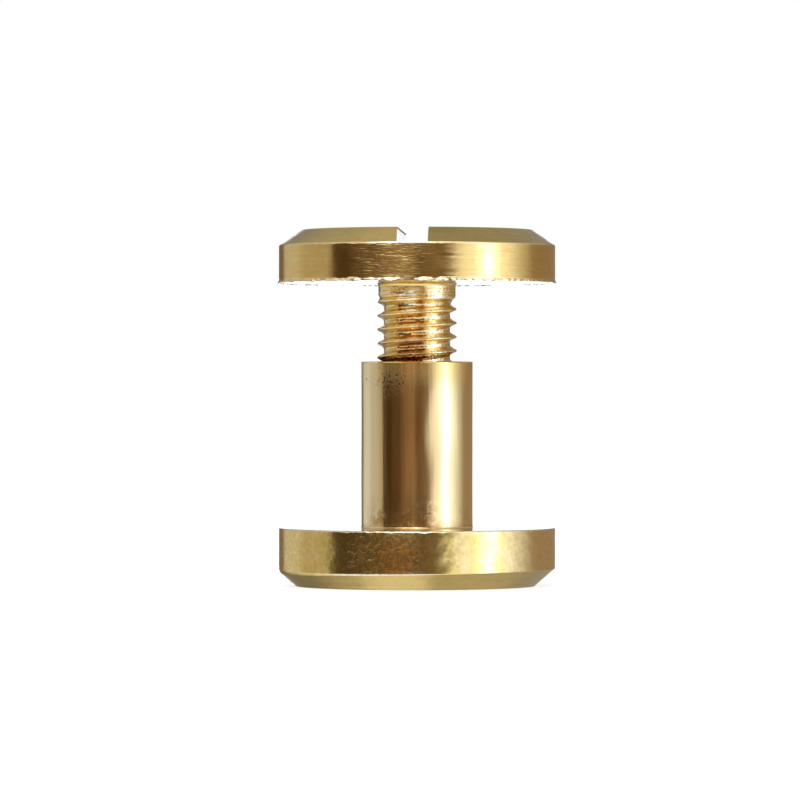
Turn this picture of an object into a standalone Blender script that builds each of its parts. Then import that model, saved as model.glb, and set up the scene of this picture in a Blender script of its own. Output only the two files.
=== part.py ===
"""A brass Chicago screw: a slotted screw, turned part of the way out of its tapped barrel post.

Run in Blender 4.5. Units are metres, and +Z is up. The origin is the middle of the flat face under the
post's head, on the axis that both pieces are turned on. Each piece is one solid, as it leaves the lathe.
The screw is modelled about the middle of its clamp face, the flat underside of its head.
"""

import math

import bmesh
import bpy

MM = 0.001

# Both heads
HEAD_DIAMETER = 10.0 * MM
RIM_CORNER_RADIUS = 0.12 * MM

# Barrel post
POST_HEAD_THICKNESS = 2.1 * MM
POST_BEVEL_HEIGHT = 0.63 * MM
POST_BEVEL_WIDTH = 0.72 * MM
POST_EDGE_BREAK = 0.05 * MM
BARREL_LENGTH = 6.0 * MM
BARREL_WALL = 0.53 * MM
BARREL_ROOT_FILLET = 0.1 * MM
BARREL_EDGE_BREAK = 0.05 * MM

# Bore of the post, at the diameter of the tapped thread's root
BORE_CLEARANCE = 0.06 * MM
BORE_MOUTH_CHAMFER = 0.15 * MM
BORE_END_METAL = 1.2 * MM
DRILL_POINT_ANGLE = math.radians(118)

# Screw head and its driver slot
SCREW_HEAD_THICKNESS = 1.9 * MM
SCREW_BEVEL_HEIGHT = 0.56 * MM
SCREW_BEVEL_WIDTH = 0.81 * MM
BURR_PROUD = 0.05 * MM
BURR_HEIGHT = 0.12 * MM
SLOT_WIDTH = 1.1 * MM
SLOT_DEPTH = 0.6 * MM
SLOT_TURN = math.radians(-2)

# Shank of the screw, with a right-hand M3 thread
SHANK_LENGTH = 5.0 * MM
THREAD_DIAMETER = 2.87 * MM
THREAD_PITCH = 0.5 * MM
THREAD_FLANK_ANGLE = math.radians(30)
CREST_BELOW_HEAD = 0.45 * MM
TIP_CHAMFER = 0.32 * MM
NECK_UNDER_CREST = 0.035 * MM
NECK_LENGTH = 0.45 * MM
NECK_FILLET = 0.15 * MM
RUN_OUT_LENGTH = 0.35 * MM

# How far the screw stands out, from the barrel's mouth to the screw's clamp face
SCREW_STANDS_OUT = 2.85 * MM

# Fineness of the facets
TURNED_SEGMENTS = 72
THREAD_SEGMENTS = 48
CORNER_STEPS = 4
SHARP_ANGLE = math.radians(25)
MERGE_DISTANCE = 0.005 * MM

# Sizes and places that follow from those above
HEAD_RADIUS = HEAD_DIAMETER / 2
THREAD_RADIUS = THREAD_DIAMETER / 2
CREST_FLAT = THREAD_PITCH / 8
ROOT_FLAT = THREAD_PITCH / 4
FLANK_HEIGHT = (THREAD_PITCH - CREST_FLAT - ROOT_FLAT) / 2
ROOT_RADIUS = THREAD_RADIUS - FLANK_HEIGHT / math.tan(THREAD_FLANK_ANGLE)
NECK_RADIUS = THREAD_RADIUS - NECK_UNDER_CREST
BORE_RADIUS = THREAD_RADIUS + BORE_CLEARANCE
BARREL_RADIUS = BORE_RADIUS + BARREL_WALL
MOUTH_Z = POST_HEAD_THICKNESS + BARREL_LENGTH
SCREW_Z = MOUTH_Z + SCREW_STANDS_OUT

BRASS_COLOUR = (0.80, 0.60, 0.30, 1.0)
POST_ROUGHNESS = 0.30
SCREW_ROUGHNESS = 0.24

RIGHT, UP, LEFT, DOWN = (math.radians(a) for a in (0, 90, 180, 270))


def clear_scene():
    for thing in list(bpy.data.objects):
        bpy.data.objects.remove(thing, do_unlink=True)


def new_collection(name):
    collection = bpy.data.collections.new(name)
    bpy.context.scene.collection.children.link(collection)
    return collection


def new_object(name, mesh, collection):
    thing = bpy.data.objects.new(name, mesh)
    collection.objects.link(thing)
    return thing


def new_brass(name, roughness):
    material = bpy.data.materials.new(name)
    material.use_nodes = True
    shader = material.node_tree.nodes["Principled BSDF"]
    shader.inputs["Base Color"].default_value = BRASS_COLOUR
    shader.inputs["Metallic"].default_value = 1.0
    shader.inputs["Roughness"].default_value = roughness
    material.diffuse_color = BRASS_COLOUR
    return material


def arc(centre, radius, start, end):
    """Points of an arc in the profile's plane, each a radius from the axis and a height."""
    angles = [start + (end - start) * i / CORNER_STEPS for i in range(CORNER_STEPS + 1)]
    return [(centre[0] + radius * math.cos(a), centre[1] + radius * math.sin(a)) for a in angles]


def screwed_profile(name, outline, collection, segments, rise=0.0, turns=1):
    """An outline swept about Z. It runs down its outer side, so that the faces point outwards."""
    mesh = bpy.data.meshes.new(name)
    edges = [(i, i + 1) for i in range(len(outline) - 1)]
    mesh.from_pydata([(radius, 0.0, height) for radius, height in outline], edges, [])
    thing = new_object(name, mesh, collection)
    sweep = thing.modifiers.new("sweep", "SCREW")
    sweep.axis = "Z"
    sweep.angle = math.radians(360)
    sweep.steps = segments
    sweep.render_steps = segments
    sweep.screw_offset = rise
    sweep.iterations = turns
    sweep.use_merge_vertices = rise == 0.0
    sweep.merge_threshold = MERGE_DISTANCE
    return thing


def add_boolean(thing, operation, other):
    """Cuts, joins or trims the thing with another solid, which stays in the scene as a wire guide."""
    step = thing.modifiers.new(operation.lower(), "BOOLEAN")
    step.operation = operation
    step.solver = "EXACT"
    step.object = other
    other.hide_render = True
    other.display_type = "WIRE"


def make_real(thing):
    """Turns a modified object into a plain mesh, smooth but for its sharp edges."""
    depsgraph = bpy.context.evaluated_depsgraph_get()
    mesh = bpy.data.meshes.new_from_object(thing.evaluated_get(depsgraph))
    mesh.name = thing.name
    thing.modifiers.clear()
    thing.data = mesh
    mesh.shade_smooth()
    mesh.set_sharp_from_angle(angle=SHARP_ANGLE)


def rim_corner(edge_z, bevel_width, bevel_height):
    """The rounded corner between a head's upright rim and the bevel under it."""
    bevel_angle = math.atan2(bevel_width, bevel_height)
    centre_z = edge_z + RIM_CORNER_RADIUS * math.tan(bevel_angle / 2)
    return arc((HEAD_RADIUS - RIM_CORNER_RADIUS, centre_z), RIM_CORNER_RADIUS, RIGHT, -bevel_angle)


def post_outline():
    """Up the bore from the drill point, over the mouth, down the barrel and round the head to its base."""
    bore_end_z = BORE_END_METAL + BORE_RADIUS / math.tan(DRILL_POINT_ANGLE / 2)
    fillet_centre = (BARREL_RADIUS + BARREL_ROOT_FILLET, POST_HEAD_THICKNESS + BARREL_ROOT_FILLET)
    return [
        (0.0, BORE_END_METAL),
        (BORE_RADIUS, bore_end_z),
        (BORE_RADIUS, MOUTH_Z - BORE_MOUTH_CHAMFER),
        (BORE_RADIUS + BORE_MOUTH_CHAMFER, MOUTH_Z),
        (BARREL_RADIUS - BARREL_EDGE_BREAK, MOUTH_Z),
        (BARREL_RADIUS, MOUTH_Z - BARREL_EDGE_BREAK),
        *arc(fillet_centre, BARREL_ROOT_FILLET, LEFT, DOWN),
        (HEAD_RADIUS - POST_EDGE_BREAK, POST_HEAD_THICKNESS),
        (HEAD_RADIUS, POST_HEAD_THICKNESS - POST_EDGE_BREAK),
        *rim_corner(POST_BEVEL_HEIGHT, POST_BEVEL_WIDTH, POST_BEVEL_HEIGHT),
        (HEAD_RADIUS - POST_BEVEL_WIDTH, 0.0),
        (0.0, 0.0),
    ]


def screw_head_outline():
    """The head from its top down to the fillet at its neck. It closes inside the shank that joins it."""
    bevel_end_z = SCREW_HEAD_THICKNESS - SCREW_BEVEL_HEIGHT
    mirrored_corner = rim_corner(-bevel_end_z, SCREW_BEVEL_WIDTH, SCREW_BEVEL_HEIGHT)
    fillet_centre = (NECK_RADIUS + NECK_FILLET, -NECK_FILLET)
    return [
        (0.0, SCREW_HEAD_THICKNESS),
        (HEAD_RADIUS - SCREW_BEVEL_WIDTH, SCREW_HEAD_THICKNESS),
        *[(radius, -height) for radius, height in reversed(mirrored_corner)],
        (HEAD_RADIUS, BURR_HEIGHT),
        (HEAD_RADIUS + BURR_PROUD, 0.0),
        *arc(fillet_centre, NECK_FILLET, UP, math.radians(165)),
        (NECK_RADIUS / 2, -NECK_FILLET),
        (0.0, -NECK_FILLET),
    ]


def shank_blank_outline():
    """The turned blank that the thread is cut in: it ends inside the head, and is chamfered at its tip."""
    top_z = (SCREW_HEAD_THICKNESS - SLOT_DEPTH) / 2
    tip_radius = THREAD_RADIUS - TIP_CHAMFER
    clear_of_thread = THREAD_RADIUS + TIP_CHAMFER
    return [
        (0.0, top_z),
        (clear_of_thread, top_z),
        (clear_of_thread, clear_of_thread - tip_radius - SHANK_LENGTH),
        (tip_radius, -SHANK_LENGTH),
        (0.0, -SHANK_LENGTH),
    ]


def thread_outline(start_z):
    """One pitch of the thread, from the top down, with its crest between two roots."""
    crest_z = start_z + ROOT_FLAT + FLANK_HEIGHT
    return [
        (ROOT_RADIUS, start_z + THREAD_PITCH),
        (THREAD_RADIUS, crest_z + CREST_FLAT),
        (THREAD_RADIUS, crest_z),
        (ROOT_RADIUS, start_z + ROOT_FLAT),
        (ROOT_RADIUS, start_z),
    ]


def close_ends(mesh_edit):
    """Closes each open end of a swept thread with a fan of faces to a point on the axis."""
    open_edges = [edge for edge in mesh_edit.edges if edge.is_boundary]
    made = bmesh.ops.extrude_edge_only(mesh_edit, edges=open_edges)["geom"]
    inner = [item for item in made if isinstance(item, bmesh.types.BMVert)]
    heights = [vertex.co.z for vertex in inner]
    middle_z = (min(heights) + max(heights)) / 2
    for end in (
        [vertex for vertex in inner if vertex.co.z < middle_z],
        [vertex for vertex in inner if vertex.co.z >= middle_z],
    ):
        end_z = sum(vertex.co.z for vertex in end) / len(end)
        bmesh.ops.pointmerge(mesh_edit, verts=end, merge_co=(0.0, 0.0, end_z))


def fade_into_neck(mesh_edit):
    """Lets the groove run out, from full depth below the run-out to the plain neck above it."""
    for vertex in mesh_edit.verts:
        below_neck = -NECK_LENGTH - vertex.co.z
        depth_share = min(max(below_neck / RUN_OUT_LENGTH, 0.0), 1.0)
        radius = vertex.co.xy.length
        wanted = NECK_RADIUS + (radius - NECK_RADIUS) * depth_share
        vertex.co.xy *= wanted / radius


def build_threaded_shank(guides):
    """The shank as one closed solid: a helical thread, trimmed to the turned blank."""
    first_root_z = -CREST_BELOW_HEAD - CREST_FLAT / 2 - FLANK_HEIGHT - ROOT_FLAT
    pitches_down = math.ceil((SHANK_LENGTH + first_root_z) / THREAD_PITCH) + 2
    start_z = first_root_z - pitches_down * THREAD_PITCH
    turns = math.ceil((SCREW_HEAD_THICKNESS - start_z) / THREAD_PITCH)
    thread = screwed_profile(
        "threaded_shank", thread_outline(start_z), guides, THREAD_SEGMENTS, THREAD_PITCH, turns
    )
    make_real(thread)

    mesh_edit = bmesh.new()
    mesh_edit.from_mesh(thread.data)
    bmesh.ops.remove_doubles(mesh_edit, verts=mesh_edit.verts, dist=MERGE_DISTANCE)
    fade_into_neck(mesh_edit)
    close_ends(mesh_edit)
    mesh_edit.to_mesh(thread.data)
    mesh_edit.free()

    blank = screwed_profile("shank_blank", shank_blank_outline(), guides, TURNED_SEGMENTS)
    add_boolean(thread, "INTERSECT", blank)
    return thread


def build_slot_cutter(guides):
    """A bar across the head's top, at the slot's width and turn."""
    bpy.ops.mesh.primitive_cube_add(size=1.0)
    cutter = bpy.context.active_object
    cutter.name = "slot_cutter"
    for collection in list(cutter.users_collection):
        collection.objects.unlink(cutter)
    guides.objects.link(cutter)
    cutter.scale = (SLOT_WIDTH, HEAD_DIAMETER * 1.5, SLOT_DEPTH * 2)
    cutter.rotation_euler.z = SLOT_TURN
    cutter.location.z = SCREW_HEAD_THICKNESS
    return cutter


def build_barrel_post(parts):
    post = screwed_profile("barrel_post", post_outline(), parts, TURNED_SEGMENTS)
    make_real(post)
    post.data.materials.append(new_brass("post_brass", POST_ROUGHNESS))
    return post


def build_slotted_screw(parts, guides):
    screw = screwed_profile("slotted_screw", screw_head_outline(), parts, TURNED_SEGMENTS)
    add_boolean(screw, "DIFFERENCE", build_slot_cutter(guides))
    add_boolean(screw, "UNION", build_threaded_shank(guides))
    make_real(screw)
    screw.data.materials.clear()
    screw.data.materials.append(new_brass("screw_brass", SCREW_ROUGHNESS))
    return screw


def main():
    clear_scene()
    parts = new_collection("chicago_screw")
    guides = new_collection("guides")
    fastener = new_object("fastener", None, parts)
    post = build_barrel_post(parts)
    screw = build_slotted_screw(parts, guides)
    post.parent = fastener
    screw.parent = fastener
    screw.location.z = SCREW_Z
    for guide in guides.objects:
        guide.parent = screw


main()
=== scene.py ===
"""The looks of a brass Chicago screw, built around the fixed CAD frame.

Shapes are worked out in millimetres, in the frame's own axes, and a finished mesh is then scaled to metres.
A turned surface is a stack of bands. Each band is an outline of (radius, height) points for every angle
round the axis, and outlines run down the outer side of the metal, so that the faces point outwards.
"""

import math

import bmesh
import bpy
from mathutils import Matrix, Vector, noise


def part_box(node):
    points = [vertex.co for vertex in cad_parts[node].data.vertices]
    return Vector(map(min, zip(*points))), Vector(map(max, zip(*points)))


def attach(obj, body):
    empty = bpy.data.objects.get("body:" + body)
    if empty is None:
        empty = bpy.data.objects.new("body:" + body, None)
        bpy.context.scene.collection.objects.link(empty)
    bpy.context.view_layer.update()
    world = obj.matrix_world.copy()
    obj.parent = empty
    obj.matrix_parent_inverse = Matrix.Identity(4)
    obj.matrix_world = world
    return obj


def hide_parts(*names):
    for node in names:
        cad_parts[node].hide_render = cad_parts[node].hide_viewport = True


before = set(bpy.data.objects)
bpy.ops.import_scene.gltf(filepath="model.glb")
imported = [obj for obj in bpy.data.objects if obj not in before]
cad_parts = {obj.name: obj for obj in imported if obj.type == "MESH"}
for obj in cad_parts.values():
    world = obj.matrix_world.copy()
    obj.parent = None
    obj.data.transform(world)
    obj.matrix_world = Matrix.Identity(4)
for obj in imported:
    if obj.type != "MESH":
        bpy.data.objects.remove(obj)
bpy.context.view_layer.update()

MM = 0.001

# Sizes that the frame gives
POST_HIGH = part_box("barrel_post")[1] / MM
SCREW_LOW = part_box("slotted_screw")[0] / MM
SCREW_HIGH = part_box("slotted_screw")[1] / MM
HEAD_RADIUS = POST_HIGH.x
MOUTH_Z = POST_HIGH.z
BURR_RADIUS = SCREW_HIGH.x
TOP_Z = SCREW_HIGH.z
TIP_Z = SCREW_LOW.z

# Barrel post
POST_HEAD_THICKNESS = 2.1
POST_BEVEL_HEIGHT = 0.63
POST_BEVEL_WIDTH = 0.72
POST_EDGE_RADIUS = 0.05
BARREL_RADIUS = 2.025
BARREL_ROOT_FILLET = 0.055
BARREL_EDGE_RADIUS = 0.05
BORE_END_METAL = 1.2
DRILL_POINT_ANGLE = math.radians(118)
DRILL_TIP_RADIUS = 0.02
DRILL_TIP_RISE = 0.012
POST_BEVEL_RUN_OUT = 0.125

# The post's wear. The barrel has one wave on the right of the photo's middle, and fainter ones all over.
# An allowance keeps waves or dimples inside the solid's radius.
BARREL_WAVE = 0.07
BARREL_WAVE_TURN = math.radians(282)
BARREL_WAVE_WIDTH = 0.35
BARREL_WAVE_LENGTH = 3.9
BARREL_WAVE_Z = 7.6
BARREL_BROAD_WAVES = 0.009
BARREL_FINE_WAVES = 0.0012
BARREL_ALLOWANCE = 0.014
RIM_DIMPLES = 0.0035
RIM_ALLOWANCE = 0.004
RIM_SKIN = 0.04
EDGE_NICKS = 0.07
EDGE_NICK_START = 0.05
EDGE_SHREDS = 0.016
CRISP_CORNER_RADIUS = 0.02
RUBBED_CORNER_RADIUS = 0.13
WORN_CORNER_RADIUS = 0.17

# Screw
SCREW_HEAD_THICKNESS = 1.9
SCREW_BEVEL_HEIGHT = 0.56
SCREW_BEVEL_WIDTH = 0.81
SCREW_CORNER_RADIUS = 0.10
SLOT_WIDTH = 1.1
SLOT_DEPTH = 0.6
SLOT_TURN = math.radians(-2)
NECK_RADIUS = 1.4
NECK_FILLET = 0.15
NECK_LENGTH = 0.45
RUN_OUT_LENGTH = 0.35
TIP_CHAMFER = 0.32

# The screw's burr and wear
BURR_HEIGHT = 0.12
BURR_DROP = 0.03
BURR_MEAN = 0.30
BURR_FOOT_RECESS = 0.006
LIP_WIDTH = 0.09
RIM_LINES = 0.0014
CORNER_CHIPS = 0.9
THREAD_WEAR = 0.012
# The burr's outline: the share of its reach, and of its height, with what the way it hangs adds to that
BURR_OUTLINE = ((0.35, 0.45, 0.2), (0.9, 0.15, 0.3))
# Its underside: how far inside the head's radius, and the share of its drop
BURR_UNDERSIDE = ((0.012, 1.2), (0.04, 0.3), (LIP_WIDTH, 0.0))

# Right-hand thread on the screw, and the tapped one around it
PITCH = 0.5
FLANK_ANGLE = math.radians(30)
CREST_RADIUS = 1.435
CREST_FLAT = PITCH / 8
ROOT_FLAT = PITCH / 3
CREST_BELOW_HEAD = 0.45
THREAD_ROUNDING = 0.022
TAP_CLEARANCE = 0.02
TAPPED_CREST_RADIUS = 1.25
TAPPED_ROOT_RADIUS = 1.48
COUNTERSINK_RADIUS = 1.68
TAPPED_END_Z = 2.75

CLAMP_Z = TOP_Z - SCREW_HEAD_THICKNESS
FIRST_CREST_Z = CLAMP_Z - CREST_BELOW_HEAD
FLANK_HEIGHT = (PITCH - CREST_FLAT - ROOT_FLAT) / 2
ROOT_RADIUS = CREST_RADIUS - FLANK_HEIGHT / math.tan(FLANK_ANGLE)

# Fineness of the meshes
HEAD_COLUMNS = 576
BARREL_COLUMNS = 192
THREAD_COLUMNS = 96
CORNER_STEPS = 4
SUPPORT = 0.015  # from an end of a stretch to the row beside it
WELD = 0.0004  # points nearer than this become one
SHARP_ANGLE = math.radians(28)
# Outer and inner radius of the rings on level faces where the number of columns changes
POST_FACE_RING = (3.4, 3.2)
HEAD_RING = (3.0, 2.6)

UP, RIGHT, LEFT = (math.radians(a) for a in (90, 0, 180))


# Outlines

def corner(centre, radius, start, end, steps=CORNER_STEPS):
    """Points of an arc, as (radius, height)."""
    angles = [start + (end - start) * i / steps for i in range(steps + 1)]
    return [(centre[0] + radius * math.cos(a), centre[1] + radius * math.sin(a)) for a in angles]


def stretch(start, end, steps):
    """Points along a straight stretch, with a close one at each end that keeps its shading flat."""
    margin = min(SUPPORT / math.dist(start, end), 0.2)
    inner = [margin + (1 - 2 * margin) * i / steps for i in range(steps + 1)]
    return [
        (start[0] + (end[0] - start[0]) * share, start[1] + (end[1] - start[1]) * share)
        for share in [0.0, *inner, 1.0]
    ]


def round_noise(turn, size, radius, layer):
    """Smooth noise round the axis, from about -1 to 1, with features of this size at this radius."""
    scale = radius / size
    return noise.noise(Vector((scale * math.cos(turn), scale * math.sin(turn), layer)))


def surface_noise(turn, radius, height, sizes, layer):
    """Smooth noise on a turned surface. Sizes are those of its features round and along the axis."""
    scale = radius / sizes[0]
    place = Vector((scale * math.cos(turn), scale * math.sin(turn), height / sizes[1] + layer))
    return noise.noise(place)


# Meshes

class Draft:
    """The points, faces and finishes of a mesh in the making."""

    def __init__(self, finishes):
        self.finishes = finishes
        self.points = []
        self.faces = []
        self.face_finishes = []

    def add_rows(self, rows, finish, closed=True):
        """Joins rows of points, from top to bottom on the outer side, with one finish."""
        first = len(self.points)
        width = len(rows[0])
        for row in rows:
            self.points.extend(row)
        columns = width if closed else width - 1
        for j in range(len(rows) - 1):
            for i in range(columns):
                k = (i + 1) % width
                upper, lower = first + j * width, first + (j + 1) * width
                self.faces.append((lower + i, lower + k, upper + k, upper + i))
                self.face_finishes.append(self.finishes.index(finish))

    def add_band(self, outline_at, finish, columns):
        """Sweeps an outline, which may change with the angle, round the axis."""
        turns = [math.tau * i / columns for i in range(columns)]
        outlines = [outline_at(turn) for turn in turns]
        rows = [
            [turned_point(turn, *outline[j]) for turn, outline in zip(turns, outlines)]
            for j in range(len(outlines[0]))
        ]
        self.add_rows(rows, finish)

    def add_ring(self, radii, height, outer_columns, inner_columns, finish, inner_first=False):
        """A level ring between an outer and an inner circle with unlike numbers of points."""
        ratio = outer_columns // inner_columns
        first = len(self.points)
        for radius, columns in zip(radii, (outer_columns, inner_columns)):
            turns = [math.tau * i / columns for i in range(columns)]
            self.points.extend(turned_point(turn, radius, height) for turn in turns)
        for i in range(inner_columns):
            outer_run = [first + (i * ratio + k) % outer_columns for k in range(ratio + 1)]
            inner_run = [first + outer_columns + (i + k) % inner_columns for k in (1, 0)]
            face = outer_run + inner_run
            self.faces.append(tuple(face if inner_first else reversed(face)))
            self.face_finishes.append(self.finishes.index(finish))

    def build(self, name, materials):
        """The welded mesh as an object, still in millimetres."""
        mesh = bpy.data.meshes.new(name)
        mesh.from_pydata(self.points, [], self.faces)
        mesh.polygons.foreach_set("material_index", self.face_finishes)
        for material in materials:
            mesh.materials.append(material)
        mesh_edit = bmesh.new()
        mesh_edit.from_mesh(mesh)
        bmesh.ops.remove_doubles(mesh_edit, verts=mesh_edit.verts, dist=WELD)
        mesh_edit.to_mesh(mesh)
        mesh_edit.free()
        thing = bpy.data.objects.new(name, mesh)
        bpy.context.scene.collection.objects.link(thing)
        return thing


def turned_point(turn, radius, height):
    return (radius * math.cos(turn), radius * math.sin(turn), height)


def finish_mesh(thing):
    """Scales a mesh from millimetres to metres, smooth but for its sharp edges."""
    thing.data.transform(Matrix.Scale(MM, 4))
    thing.data.shade_smooth()
    thing.data.set_sharp_from_angle(angle=SHARP_ANGLE)


# Threads

def trapezoid(offset, crest_half, flank, low, high):
    """Radius at a height from the nearest crest's middle, for a thread with straight flanks."""
    share = (abs(offset) - crest_half) / flank
    return high + (low - high) * min(max(share, 0.0), 1.0)


def thread_wave(turn, height, crest_half, flank, low, high):
    """A thread's radius at a point, with its corners rounded as by a worn tool."""
    rise = PITCH * turn / math.tau
    total = 0.0
    shifts = (-1.0, -0.5, 0.0, 0.5, 1.0)
    for shift in shifts:
        from_crest = (height + shift * THREAD_ROUNDING - FIRST_CREST_Z - rise) / PITCH
        offset = (from_crest - round(from_crest)) * PITCH
        total += trapezoid(offset, crest_half, flank, low, high)
    return total / len(shifts)


def screw_thread_radius(turn, height):
    """The shank's surface: thread, faded into the neck at its top and chamfered at its tip."""
    wear = THREAD_WEAR * surface_noise(turn, CREST_RADIUS, height, sizes=(0.35, 0.30), layer=3.0)
    radius = thread_wave(turn, height, CREST_FLAT / 2, FLANK_HEIGHT, ROOT_RADIUS, CREST_RADIUS)
    depth_share = (CLAMP_Z - NECK_LENGTH - height) / RUN_OUT_LENGTH
    depth_share = min(max(depth_share, 0.0), 1.0)
    radius = NECK_RADIUS + (radius + wear - NECK_RADIUS) * depth_share
    chamfer_radius = CREST_RADIUS - TIP_CHAMFER + (height - TIP_Z)
    return min(radius, chamfer_radius)


def tapped_thread_radius(turn, height):
    """The bore's surface: tapped thread, countersunk at its mouth and faded into the drilled hole."""
    slope = math.tan(FLANK_ANGLE)
    gap = TAP_CLEARANCE / math.cos(FLANK_ANGLE)
    root_half = CREST_FLAT / 2 + gap - (TAPPED_ROOT_RADIUS - CREST_RADIUS) * slope
    flank = (TAPPED_ROOT_RADIUS - TAPPED_CREST_RADIUS) * slope
    radius = thread_wave(turn, height, root_half, flank, TAPPED_CREST_RADIUS, TAPPED_ROOT_RADIUS)
    depth_share = min(max((height - TAPPED_END_Z) / PITCH, 0.0), 1.0)
    radius = TAPPED_CREST_RADIUS + (radius - TAPPED_CREST_RADIUS) * depth_share
    return max(radius, COUNTERSINK_RADIUS - (MOUTH_Z - height))


def thread_row_shares():
    """Places of the rows in one pitch, as shares of it from root to root, close together at the corners."""
    crest_edge, flank_end = CREST_FLAT / 2, CREST_FLAT / 2 + FLANK_HEIGHT
    from_crest = [0.0]
    from_crest += [crest_edge + k * THREAD_ROUNDING for k in (-1, 0, 1)]
    from_crest += [crest_edge + FLANK_HEIGHT * share for share in (0.35, 0.65)]
    from_crest += [flank_end + k * THREAD_ROUNDING for k in (-1, 0, 1)]
    half = [0.5 - offset / PITCH for offset in reversed(from_crest)]
    return [0.0, *half, *[1.0 - share for share in reversed(half[:-1])], 1.0]


def add_helical_rows(draft, radius_at, top_z, pitches, finish, upwards=False):
    """A thread's skin between two level circles, a whole number of pitches apart.

    Rows follow the helix. A wedge of rows at each end levels them out, where they shrink to nothing.
    """
    shares = thread_row_shares()
    bottom_z = top_z - pitches * PITCH
    turns = [math.tau * i / THREAD_COLUMNS for i in range(THREAD_COLUMNS + 1)]

    def skin_point(turn, height):
        return turned_point(turn, radius_at(turn, height), height)

    def skin(height_at, row_places):
        rows = [[skin_point(turn, height_at(turn, place)) for turn in turns] for place in row_places]
        draft.add_rows(rows[::-1] if upwards else rows, finish, closed=False)

    def top_wedge(turn, share):
        return top_z - share * PITCH * (1 - turn / math.tau)

    def helix(turn, place):
        return top_z - PITCH - place * PITCH + PITCH * turn / math.tau

    def bottom_wedge(turn, share):
        return bottom_z + PITCH * turn / math.tau * (1 - share)

    skin(top_wedge, shares)
    skin(helix, [pitch + share for pitch in range(pitches - 1) for share in shares[:-1]] + [pitches - 1])
    skin(bottom_wedge, shares)


def level_rows(radius_at, top_z, bottom_z, steps):
    """An outline for add_band, with level rows over part of a thread."""
    heights = [top_z + (bottom_z - top_z) * i / steps for i in range(steps + 1)]
    return lambda turn: [(radius_at(turn, height), height) for height in heights]


# Barrel post

POST_FINISHES = ["bore", "mouth", "barrel", "clamp_face", "rim", "bevel", "base"]


def barrel_radius_at(turn, height):
    """The barrel, with the faint waves that its polish left."""
    broad = surface_noise(turn, BARREL_RADIUS, height, sizes=(0.9, 2.6), layer=11.0)
    fine = surface_noise(turn, BARREL_RADIUS, height, sizes=(0.45, 2.2), layer=17.0)
    from_wave = turn - BARREL_WAVE_TURN
    wave = from_wave * math.exp(-(from_wave / BARREL_WAVE_WIDTH) ** 2)
    wave *= BARREL_WAVE * math.cos(math.tau * (height - BARREL_WAVE_Z) / BARREL_WAVE_LENGTH)
    return BARREL_RADIUS - BARREL_ALLOWANCE + BARREL_BROAD_WAVES * broad + BARREL_FINE_WAVES * fine + wave


def barrel_outline(turn):
    low_z = POST_HEAD_THICKNESS + BARREL_ROOT_FILLET
    high_z = MOUTH_Z - BARREL_EDGE_RADIUS
    plain = stretch((BARREL_RADIUS, high_z), (BARREL_RADIUS, low_z), steps=56)
    edge_centre = (BARREL_RADIUS - BARREL_EDGE_RADIUS, high_z)
    foot_centre = (BARREL_RADIUS + BARREL_ROOT_FILLET, low_z)
    outline = corner(edge_centre, BARREL_EDGE_RADIUS, UP, RIGHT)[:-1]
    outline += [(barrel_radius_at(turn, z), z) for _, z in plain]
    outline += corner(foot_centre, BARREL_ROOT_FILLET, LEFT, LEFT + math.radians(90), steps=6)[1:]
    return outline


def worn_left(turn):
    """From 0 on the right of the photo to 1 on its left, where the post's corner is worn round."""
    return 0.5 - 0.5 * math.cos(turn)


def post_bevel_height(turn):
    """The bevel was cut a little off the axis, and is lowest on the left of the photo."""
    return POST_BEVEL_HEIGHT - POST_BEVEL_RUN_OUT * worn_left(turn)


def post_base_radius(turn):
    """Where the bevel meets the base."""
    return HEAD_RADIUS - POST_BEVEL_WIDTH * post_bevel_height(turn) / POST_BEVEL_HEIGHT


def rim_peel(turn, height):
    """The shallow dimples of the post's rim."""
    return RIM_DIMPLES * surface_noise(turn, HEAD_RADIUS, height, sizes=(0.34, 0.30), layer=5.0)


def post_rim_outline(turn):
    """From the clamp face over the edge and down the rim to the end of the rounded corner."""
    nick = round_noise(turn, size=0.30, radius=HEAD_RADIUS, layer=2.0)
    shred = round_noise(turn, size=0.12, radius=HEAD_RADIUS, layer=4.0)
    edge_radius = POST_EDGE_RADIUS + max(0.0, nick - EDGE_NICK_START) * EDGE_NICKS + shred * EDGE_SHREDS
    edge_centre = (HEAD_RADIUS - edge_radius, POST_HEAD_THICKNESS - edge_radius)
    top = corner(edge_centre, edge_radius, UP, RIGHT)
    bevel_angle = math.atan2(POST_BEVEL_WIDTH, POST_BEVEL_HEIGHT)
    worn = worn_left(turn)
    radius = CRISP_CORNER_RADIUS + RUBBED_CORNER_RADIUS * worn ** 2 + WORN_CORNER_RADIUS * worn ** 12
    centre_z = post_bevel_height(turn) + radius * math.tan(bevel_angle / 2)
    bottom = corner((HEAD_RADIUS - radius, centre_z), radius, RIGHT, -bevel_angle, steps=8)
    side = stretch(top[-1], bottom[0], steps=30)
    outline = top[:-1] + side + bottom[1:]
    skin_start = HEAD_RADIUS - RIM_SKIN
    return [(r - RIM_ALLOWANCE + rim_peel(turn, z) if r > skin_start else r, z) for r, z in outline]


def post_bevel_outline(turn):
    return stretch(post_rim_outline(turn)[-1], (post_base_radius(turn), 0.0), steps=10)


def post_face_outline(turn):
    return stretch((POST_FACE_RING[0], POST_HEAD_THICKNESS), post_rim_outline(turn)[0], steps=8)


def post_base_outline(turn):
    return stretch((post_base_radius(turn), 0.0), (HEAD_RING[0], 0.0), steps=4)


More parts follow.
